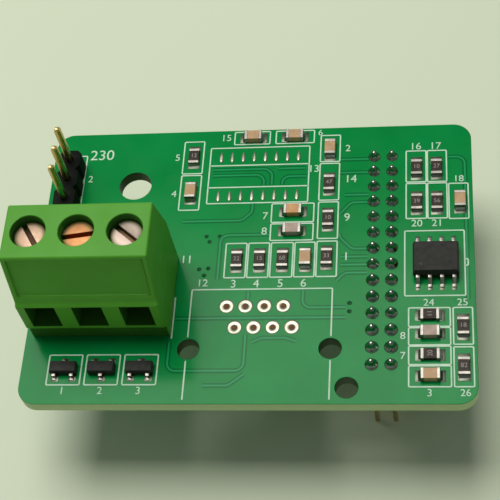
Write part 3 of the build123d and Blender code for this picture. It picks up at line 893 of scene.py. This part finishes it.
# terminal block
blockSizes = {
    "poles": 3, "pitch": 5.0, "topDepth": 6.35, "shoulder": 7.4, "ledge": 0.45, "ledgeSlope": (0.1, 0.25),
    "lip": (2.7, 0.4), "panelRecess": 0.3, "panelMargin": 0.6, "panelTop": 0.55, "panelLedge": 0.9,
    "entry": (3.2, 3.9), "entryBottom": 3.1, "wellRadius": 1.85, "screwSeat": 11.3, "wellSteps": 64,
    "cavityTop": 10.5, "cavity": (4.2, 2.7, 3.5), "holeRadius": 1.4, "holeSteps": 32, "overrun": 0.1,
    "edgeRound": 0.2, "rimFlare": 0.07, "sharp": 40, "normalWeight": 100,
}
# how far a face may lie from these places and still take the finish of its zone
zoneSizes = {
    "frontFacing": -0.9, "panelLean": (0.1, 0.4), "well": 0.02, "top": 0.2, "shoulder": 0.3, "wall": 0.12,
}


def blockProfile(s, depth, height):
    top, base = s["topDepth"] / 2, depth / 2
    lipHeight, lipDepth = s["lip"]
    slopeDepth, slopeHeight = s["ledgeSlope"]
    return [
        (-top, height), (s["ledge"] - base, s["shoulder"]), (-base + slopeDepth, s["shoulder"] - slopeHeight),
        (-base, lipHeight), (-base + lipDepth, lipHeight - lipDepth), (-base + lipDepth, 0), (base, 0),
        (base, s["shoulder"]), (top, height)]


def crate(name, x, y, z, centre):
    # box between (low, high) pairs
    points = [(y[0], z[0]), (y[1], z[0]), (y[1], z[1]), (y[0], z[1])]
    shifted = centre + Vector(((x[0] + x[1]) / 2 * mm, 0, 0))
    return keepPiece(name, prismMesh(name, points, x[1] - x[0], shifted))


def flaredRim(x, z, flare, y, centre):
    # opens an entry's rim: (low, high) pairs in x and z at the inner end, wider by the flare at the outer one
    bm = bmesh.new()
    rings = []
    for depth, wider in ((y + flare, 0), (y - flare, 2 * flare)):
        corners = ((x[0] - wider, z[0] - wider), (x[1] + wider, z[0] - wider),
                   (x[1] + wider, z[1] + wider), (x[0] - wider, z[1] + wider))
        rings.append([bm.verts.new(centre + Vector((i, depth, k)) * mm) for i, k in corners])
    return keepPiece("rim", stackedMesh("rim", bm, rings))


def cutAway(piece, cutters):
    for cutter in cutters:
        cut = piece.modifiers.new("cut", "BOOLEAN")
        cut.operation = "DIFFERENCE"
        cut.solver = "EXACT"
        cut.object = cutter
        settled(piece)
        bpy.data.objects.remove(cutter)


def tidyMesh(piece):
    bm = bmesh.new()
    bm.from_mesh(piece.data)
    cleanUp(bm, *cutMerge)
    bmesh.ops.recalc_face_normals(bm, faces=bm.faces)
    bm.to_mesh(piece.data)
    bm.free()


def poleCutters(s, centre, depth, height):
    width, front, back = s["cavity"]
    x = (-s["entry"][0] / 2, s["entry"][0] / 2)
    z = (s["entryBottom"], s["entryBottom"] + s["entry"][1])
    seat, radius, rim, over = s["screwSeat"], s["wellRadius"], s["rimFlare"], s["overrun"]
    well = [(0, seat), (radius, seat), (radius, height - rim), (radius + 2 * rim, height + rim),
            (0, height + rim)]
    low, high = s["cavityTop"] - over, seat + over
    hole = [(0, low), (s["holeRadius"], low), (s["holeRadius"], high), (0, high)]
    return [
        turnedPiece("well", well, s["wellSteps"], centre),
        turnedPiece("hole", hole, s["holeSteps"], centre),
        crate("chamber", (-width / 2, width / 2), (-front, back), (-1, s["cavityTop"]), centre),
        crate("entry", x, (-depth, 0), z, centre),
        flaredRim(x, z, rim, -depth / 2, centre),
    ]


def panelCutter(s, centre, depth, width, height):
    top, ledge = s["topDepth"] / 2, depth / 2 - s["ledge"]
    slope = (ledge - top) / (height - s["shoulder"])
    low = s["shoulder"] + s["panelLedge"]
    high = height - s["panelTop"]
    floorHigh = -top - slope * s["panelTop"] + s["panelRecess"]
    floorLow = -top - slope * (height - low) + s["panelRecess"]
    points = [(floorHigh, high), (-depth, high), (-depth, low), (floorLow, low)]
    return keepPiece("panel", prismMesh("panel", points, width - 2 * s["panelMargin"], centre))


def housingZone(s, face, at, width, depth, height):
    # 0 outside, 1 the sunk front panel, with its own plastic coloured for how light falls there (painted
    # light), 2 wells, wire entries and the undercut foot, with a darker plastic as painted shade
    z = zoneSizes
    normal = face.normal
    inPanel = s["shoulder"] + s["panelLedge"] < at.z < height - s["panelTop"]
    inPanel = inPanel and abs(at.x) < width / 2 - s["panelMargin"]
    if inPanel and normal.y < z["frontFacing"] and z["panelLean"][0] < normal.z < z["panelLean"][1]:
        return 1
    pole = round(at.x / s["pitch"]) * s["pitch"]
    inWell = math.hypot(at.x - pole, at.y) < s["wellRadius"] + z["well"]
    if inWell and s["screwSeat"] - s["overrun"] < at.z < height - z["top"]:
        return 2
    inside = abs(at.x) < width / 2 - z["wall"] and abs(at.y) < depth / 2 - z["wall"]
    onBack = normal.y > -z["frontFacing"] and at.y > 0
    if inside and at.z < s["shoulder"] - z["shoulder"] and not onBack:
        return 2
    return 0


def makeHousing():
    s = blockSizes
    low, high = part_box("terminal_housing")
    centre = footOf("terminal_housing")
    width, depth, height = ((high - low) / mm)[:]
    mesh = prismMesh("blockHousing", blockProfile(s, depth, height), width, centre)
    block = keepPiece("blockHousing", mesh)
    cutAway(block, [panelCutter(s, centre, depth, width, height)])
    tidyMesh(block)
    softenEdges(block, s["edgeRound"], 3, degrees=30, clamp=False)
    for i in range(s["poles"]):
        x = (i - (s["poles"] - 1) / 2) * s["pitch"]
        cutAway(block, poleCutters(s, centre + Vector((x * mm, 0, 0)), depth, height))
    tidyMesh(block)
    dress(block, "blockPlastic", "panelPlastic", "innerPlastic")
    # large flat faces keep their own normal, narrow rounded ones blend into them
    setSharp(block.data, s["sharp"])
    weigh = block.modifiers.new("weigh", "WEIGHTED_NORMAL")
    weigh.keep_sharp = True
    weigh.weight = s["normalWeight"]
    settled(block)
    # the panel's plastic is painted light; the darker plastic of the wells, entries and foot is painted shade
    for face in block.data.polygons:
        face.material_index = housingZone(s, face, (face.center - centre) / mm, width, depth, height)
    finishPiece(block, "terminal_plastic", "terminal_housing")


makeHousing()
print("housing made")


# screws, clamps and strips
screwSizes = {
    "headHeight": 1.7, "rim": 0.14, "rimShare": 0.3, "seatRound": 0.05, "shank": 1.25, "tip": 0.2,
    "steps": 72,
    "slot": (6, 0.52, 3), "slotCorner": 0.01, "slotDepth": 0.85, "slotRound": 0.05,
    # the slot's painted shade: how far below the slot it reaches, how far in from the rim, and how much
    # lighter its second colour is
    "slotAngles": (-58.0, 8.0, -40.0), "slotShadeBelow": 0.02, "slotShadeInset": 0.1, "slotShadeContrast": 1.5,
}
poleRound = 0.08
platingLook = {
    "roughness": (0.46, 0.58), "metallic": 0.85, "patchScale": 900.0, "glossScale": 2200.0, "ringPitch": 0.16,
    "rings": 0.22, "ringDepth": 0.02, "ringWaver": (0.8, 1.0), "rimTint": (0.06, 0.075, 0.018),
    "rimTintReach": (0.95, 1.75),
    # colour, second colour and dark slot colour for each screw; the three differ for how light and
    # reflections fall on each (painted light), and the slot's colour is painted shade
    "paintedLightTints": [
        ((0.44, 0.29, 0.20), (0.54, 0.39, 0.29), (0.05, 0.025, 0.015)),
        ((0.46, 0.20, 0.08), (0.58, 0.30, 0.14), (0.30, 0.085, 0.016)),
        ((0.68, 0.53, 0.45), (0.80, 0.65, 0.57), (0.14, 0.080, 0.045)),
    ],
}


def platingFinish(name, first, second, centre):
    # turned rings about the screw's own axis
    look = platingLook
    tree, shader, place = startFinish(name, look["metallic"], 0.5)
    inputs = {"Vector": place, "Location": tuple(-centre)}
    local = addNode(tree, "ShaderNodeMapping", inputs=inputs).outputs["Vector"]
    plain = layColours(tree, shader, local, first, second, look["roughness"], look["patchScale"],
                       look["glossScale"])
    # the colour turns darker and greener towards the rim of the head
    flat = addNode(tree, "ShaderNodeVectorMath", {"operation": "MULTIPLY"}, {0: local, 1: (1.0, 1.0, 0.0)})
    reach = addNode(tree, "ShaderNodeVectorMath", {"operation": "LENGTH"}, {0: flat.outputs["Vector"]})
    start, end = look["rimTintReach"]
    rim = addNode(tree, "ShaderNodeMapRange", {"interpolation_type": "SMOOTHSTEP"}, {
        "Value": reach.outputs["Value"], "From Min": start * mm, "From Max": end * mm}).outputs["Result"]
    tree.links.new(mixColours(tree, rim, plain, look["rimTint"]), shader.inputs["Base Color"])
    rings = waves(tree, local, look["ringPitch"], "RINGS", "Z", *look["ringWaver"])
    raiseBump(tree, shader, rings, look["rings"], look["ringDepth"])


def makeScrew(number):
    s = screwSizes
    low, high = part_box(f"terminal_screw_{number}")
    axis = footOf(f"terminal_screw_{number}")
    axis.z = 0
    radius = (high.x - low.x) / 2 / mm
    tip, top = low.z / mm, high.z / mm
    seat, rim, shank, foot = top - s["headHeight"], s["rim"], s["shank"], s["seatRound"]
    curve = rim * s["rimShare"]
    profile = [(0, tip), (shank - s["tip"], tip), (shank, tip + s["tip"]), (shank, seat),
               (radius - foot, seat), (radius, seat + foot), (radius, top - rim),
               (radius - curve, top - curve), (radius - rim, top), (0, top)]
    screw = turnedPiece(f"terminalScrew{number}", profile, s["steps"], axis)
    slot = boxMesh("slot", s["slot"], s["slotCorner"], top - s["slotDepth"])
    angle = math.radians(s["slotAngles"][number - 1])
    slot.transform(Matrix.Translation(axis) @ Matrix.Rotation(angle, 4, "Z"))
    cutAway(screw, [keepPiece("slotCutter", slot)])
    tidyMesh(screw)
    softenEdges(screw, s["slotRound"], 2, degrees=50, clamp=False)
    # each screw has its own colours, set for how light falls on it: painted light
    first, second, slotShade = platingLook["paintedLightTints"][number - 1]
    platingFinish(f"screwPlating{number}", first, second, axis)
    # the slot takes a dark copy of the plating: painted shade
    platingFinish(f"screwGrime{number}", slotShade, tuple(s["slotShadeContrast"] * v for v in slotShade), axis)
    dress(screw, f"screwPlating{number}", f"screwGrime{number}")
    slotLow, slotHigh = high.z - (s["slotDepth"] + s["slotShadeBelow"]) * mm, high.z - s["slotRound"] * mm
    # faces inside the slot take the painted shade
    for face in screw.data.polygons:
        reach = (face.center.xy - axis.xy).length / mm
        inSlot = reach < radius - s["slotShadeInset"] and slotLow < face.center.z < slotHigh
        face.material_index = 1 if inSlot else 0
    finishPiece(screw, "screw_plating", f"terminal_screw_{number}", body=f"screw_{number}")


for pole in (1, 2, 3):
    makeScrew(pole)
    softNode(f"wire_clamp_{pole}", f"wireClamp{pole}", "clampNickel", poleRound, "clamp_plating",
             f"clamp_{pole}")
    softNode(f"contact_strip_{pole}", f"contactStrip{pole}", "stripTin", poleRound, "tinned_strip")
print("screws, clamps and strips made")


# leaded chips
leadSizes = {"round": 0.03, "bodyRound": 0.07, "diodeRound": 0.056, "draft": 0.16, "waist": 0.55}
dimpleSizes = {
    "inset": 0.85, "steps": 28,
    "profile": [(0, 0.004), (0.24, 0.006), (0.30, 0.016), (0.34, 0.004), (0.34, -0.02), (0, -0.02)],
}
behindDiodeShadeSizes = {"halfWidth": 7, "reach": 3}


def makeInterfaceBody():
    # moulded body with drafted sides, a parting line at lead height and a first-pin dimple
    s = leadSizes
    low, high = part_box("interface_chip_body")
    centre = footOf("interface_chip_body")
    half = (high - low) / 2
    height = (high.z - low.z) / mm
    bm = bmesh.new()
    rings = []
    for inset, z in ((s["draft"], 0), (0, height * s["waist"]), (s["draft"], height)):
        x, y = half.x - inset * mm, half.y - inset * mm
        rings.append([bm.verts.new((centre.x + i * x, centre.y + j * y, low.z + z * mm))
                      for i, j in ((-1, -1), (1, -1), (1, 1), (-1, 1))])
    body = keepPiece("interfaceBody", stackedMesh("interfaceBody", bm, rings), "chipEpoxy")
    softenEdges(body, s["bodyRound"], 2, degrees=20)
    finishPiece(body, "package_plastic", "interface_chip_body")
    s = dimpleSizes
    corner = (low.x + s["inset"] * mm, low.y + s["inset"] * mm, high.z)
    dimple = turnedPiece("interfaceDimple", s["profile"], s["steps"], corner)
    dress(dimple, "dotEpoxy")
    finishPiece(dimple, "package_plastic")


def shadeBehindDiodes(piece):
    # the tin behind the surge diodes is made darker: painted shade of the terminal block
    s = behindDiodeShadeSizes
    middle = footOf("surge_diode_leads")
    for face in piece.data.polygons:
        behind = middle.y < face.center.y < middle.y + s["reach"] * mm
        if behind and abs(face.center.x - middle.x) < s["halfWidth"] * mm:
            face.material_index = 1


def makeLeadedChips():
    s = leadSizes
    makeInterfaceBody()
    softNode("interface_chip_leads", "interfaceLeads", "dullTin", s["round"], "tinned_copper")
    for number in (1, 2, 3):
        softNode(f"surge_diode_body_{number}", f"surgeBody{number}", "chipEpoxy", s["diodeRound"],
                 "package_plastic")
    leads = softCopy("surge_diode_leads", "surgeLeads", "dullTin", s["round"])
    # the back leads take the darker tin as painted shade
    dress(leads, "dullTin", "stainedTin")
    shadeBehindDiodes(leads)
    finishPiece(leads, "tinned_copper", "surge_diode_leads")


makeLeadedChips()


# chip resistors and capacitors
partSizes = {
    "capLength": 0.36, "proud": 0.03, "overlap": 0.1, "round": 0.06, "markHeight": 0.52, "markDepth": 0.068,
    # plain numbers on the resistors, and the capacitors that differ from the others
    "marks": ["12", "47", "10", "33", "22", "15", "68", "10", "27", "39", "56", "18", "82", "11", "20"],
    "shades": {"capacitor7": "orangeCeramic", "capacitor8": "greyCeramic", "capacitor9": "greyCeramic"},
}
partKinds = {
    "resistor": (15, "darkGlaze", "resistor_glaze"), "capacitor": (10, "tanCeramic", "capacitor_ceramic"),
}


def alongY(node):
    low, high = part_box(node)
    return high.y - low.y > high.x - low.x


def partMesh(name, width, length, height):
    # a chip that lies along Y: ceramic core and wrapped end caps
    s = partSizes
    bm = bmesh.new()
    core = (width - 2 * s["proud"], length - 2 * s["overlap"], height - s["proud"])
    addBox(bm, core, (0, 0, core[2] / 2), 0)
    for side in (-1, 1):
        y = side * (length - s["capLength"]) / 2
        addBox(bm, (width, s["capLength"], height), (0, y, height / 2), 1)
    return meshFrom(name, bm)


def makePart(kind, number, material, slot):
    s = partSizes
    node, name = f"chip_{kind}_{number}", f"{kind}{number}"
    low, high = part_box(node)
    x, y, z = (high - low) / mm
    place = Matrix.Translation(footOf(node))
    if not alongY(node):
        x, y = y, x
        place = place @ Matrix.Rotation(math.radians(90), 4, "Z")
    material = s["shades"].get(name, material)
    piece = keepPiece(name, partMesh(name, x, y, z), material, "dullTin")
    softenEdges(piece, s["round"])
    if kind == "resistor":
        mark = numberMesh(s["marks"][number - 1], s["markHeight"])
        mark.transform(Matrix.Translation((0, 0, z * mm - s["markDepth"] * mm)))
        mark.transform(place)
        finishPiece(keepPiece(f"resistorMark{number}", mark, "markInk"), slot)
    piece.data.transform(place)
    finishPiece(piece, slot, node)


for kind, (count, material, slot) in partKinds.items():
    for number in range(1, count + 1):
        makePart(kind, number, material, slot)
print("resistors and capacitors made")


# solder at the ends of the chips, and the lands under all parts
filletSizes = {
    "length": 0.36, "rise": 0.55, "halfWidth": 0.56, "edge": 0.02, "hollow": 2.0, "steps": 6, "sharp": 45,
    "spread": (0.08, 0.06, 5),
}
landSizes = {
    "thickness": 0.06, "base": -0.02, "round": 0.02, "partShift": 0.08, "leadShift": 0.35,
    "part": (1.3, 0.95), "lead": (0.48, 1.3), "surge": (0.8, 0.9), "sharp": 40,
}


def partEnds():
    # (place at the foot of each end face, turn, height) for every chip
    ends = []
    for kind, values in partKinds.items():
        for number in range(1, values[0] + 1):
            node = f"chip_{kind}_{number}"
            low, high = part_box(node)
            x, y, z = footOf(node)
            tall = (high.z - low.z) / mm
            if alongY(node):
                pair = ((x, high.y, z), 0.0), ((x, low.y, z), math.pi)
            else:
                pair = ((low.x, y, z), math.pi / 2), ((high.x, y, z), -math.pi / 2)
            ends += [(Vector(place), turn, tall) for place, turn in pair]
    return ends


def filletMesh(tall):
    # hollow wedge of solder that leans on an end cap; it points along +Y
    s = filletSizes
    rise, reach, edge = tall * s["rise"], s["length"], s["edge"]
    outline = [(-edge, -sunk), (-edge, rise)]
    for i in range(1, s["steps"] + 1):
        t = i / s["steps"]
        outline.append((reach * t, edge + (rise - edge) * (1 - t) ** s["hollow"]))
    return setSharp(prismMesh("fillet", outline + [(reach, -sunk)], 2 * s["halfWidth"]), s["sharp"])


def makeFillets():
    s = filletSizes
    ends = partEnds()
    pieces = []
    for tall in sorted({round(end[2], 2) for end in ends}):
        places = [(place, turn) for place, turn, height in ends if round(height, 2) == tall]
        pieces.append(setOut("fillets", filletMesh(tall), places, "shinySolder", *s["spread"]))
    piece = keepPiece("partSolder", joinPieces("partSolder", pieces, s["sharp"]), "shinySolder")
    finishPiece(piece, "solder", "passive_solder_fillets")


def leadBoxes(node):
    # box of each separate lead in a node, from left to right and front to back
    bm = bmesh.new()
    bm.from_mesh(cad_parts[node].data)
    bmesh.ops.remove_doubles(bm, verts=bm.verts, dist=copyMerge[0] * mm)
    left, boxes = set(bm.verts), []
    while left:
        reached, queue = set(), [min(left, key=lambda vert: vert.index)]
        while queue:
            vert = queue.pop()
            if vert not in reached:
                reached.add(vert)
                queue += [edge.other_vert(vert) for edge in vert.link_edges]
        left -= reached
        boxes.append([Vector([end(vert.co[k] for vert in reached) for k in range(3)]) for end in (min, max)])
    bm.free()
    return sorted(boxes, key=lambda pair: (round(pair[0].x, 5), round(pair[0].y, 5)))


def leadPlaces(node):
    # under the foot of each lead, which is its end away from the chip's middle line
    middle = footOf(node).y
    shift = landSizes["leadShift"] * mm
    places = []
    for low, high in leadBoxes(node):
        y = high.y - shift if (low.y + high.y) / 2 > middle else low.y + shift
        places.append((Vector(((low.x + high.x) / 2, y, boardTop)), 0.0))
    return places


def makeLands():
    s = landSizes
    inward = Vector((0, -s["partShift"] * mm, 0))
    parts = [(place - Matrix.Rotation(turn, 3, "Z") @ inward, turn) for place, turn, _ in partEnds()]
    groups = [("part", parts), ("lead", leadPlaces("interface_chip_leads")),
              ("surge", leadPlaces("surge_diode_leads"))]
    pieces = []
    for i, (kind, places) in enumerate(groups):
        shape = boxMesh(kind, (*s[kind], s["thickness"]), s["round"], s["base"])
        pieces.append(setOut(f"lands{i}", shape, places, "dullTin"))
    lands = keepPiece("footprintLands", joinPieces("footprintLands", pieces, s["sharp"]),
                      "dullTin", "stainedTin")
    # the lands behind the surge diodes take the same painted shade
    shadeBehindDiodes(lands)
    finishPiece(lands, "tinned_copper")


makeFillets()
makeLands()
print("solder and lands made")


# floor, light and camera; the softbox hangs level and its far edge ends the sheen on the lacquer
floorSizes = {"half": 1.5, "gap": 0.02}
softboxSizes = {
    "power": 2.65, "size": (0.32, 0.31), "place": (-0.086, 0.138, 0.50), "colour": (1.0, 0.98, 0.93),
}
skySizes = {"colour": (0.94, 1.0, 0.90), "horizon": 0.68, "above": 0.18, "fade": 0.35}
cameraSizes = {"offset": (20.7, -74.35, 121.9), "aim": (14.0, -9.7, 3.0), "lens": 96.0, "clip": (0.005, 10.0)}


def makeFloor():
    s = floorSizes
    bm = bmesh.new()
    bmesh.ops.create_grid(bm, x_segments=4, y_segments=4, size=s["half"])
    bmesh.ops.translate(bm, verts=bm.verts, vec=(0, 0, cadBox[0].z - s["gap"] * mm))
    keepPiece("floor", meshFrom("floor", bm), "floorPaper")


def makeLight():
    s = softboxSizes
    lamp = bpy.data.lights.new("softbox", "AREA")
    lamp.energy = s["power"]
    lamp.shape = "RECTANGLE"
    lamp.size, lamp.size_y = s["size"]
    lamp.color = s["colour"]
    keepPiece("softbox", lamp).location = Vector(s["place"])


def makeSky():
    # a studio sky, pale at the horizon and darker above
    s = skySizes
    scene.world = bpy.data.worlds.new("studio")
    scene.world.use_nodes = True
    tree = scene.world.node_tree
    sky = tree.nodes["Background"]
    sky.inputs["Color"].default_value = (*s["colour"], 1.0)
    direction = addNode(tree, "ShaderNodeTexCoord").outputs["Generated"]
    height = addNode(tree, "ShaderNodeSeparateXYZ", inputs={"Vector": direction}).outputs["Z"]
    strength = spreadRange(tree, height, s["horizon"], s["above"], 0.0, s["fade"])
    tree.links.new(strength, sky.inputs["Strength"])


def makeCamera():
    s = cameraSizes
    camera = bpy.data.cameras.new("camera")
    camera.lens = s["lens"]
    camera.clip_start, camera.clip_end = s["clip"]
    aim = Vector(s["aim"]) * mm
    eye = aim + Vector(s["offset"]) * mm
    forward = (aim - eye).normalized()
    # the camera is rolled so that the board's front edge lies level
    ends = []
    for x in (boardLow.x, boardHigh.x):
        ray = Vector((x, boardLow.y, boardTop)) - eye
        ends.append(ray / ray.dot(forward))
    right = (ends[1] - ends[0]).normalized()
    up = right.cross(forward).normalized()
    turn = Matrix((right, up, -forward)).transposed()
    scene.camera = keepPiece("camera", camera)
    scene.camera.matrix_world = Matrix.Translation(eye) @ turn.to_4x4()


makeFloor()
makeLight()
makeSky()
makeCamera()
scene.view_settings.view_transform = "Standard"
print("stage made")
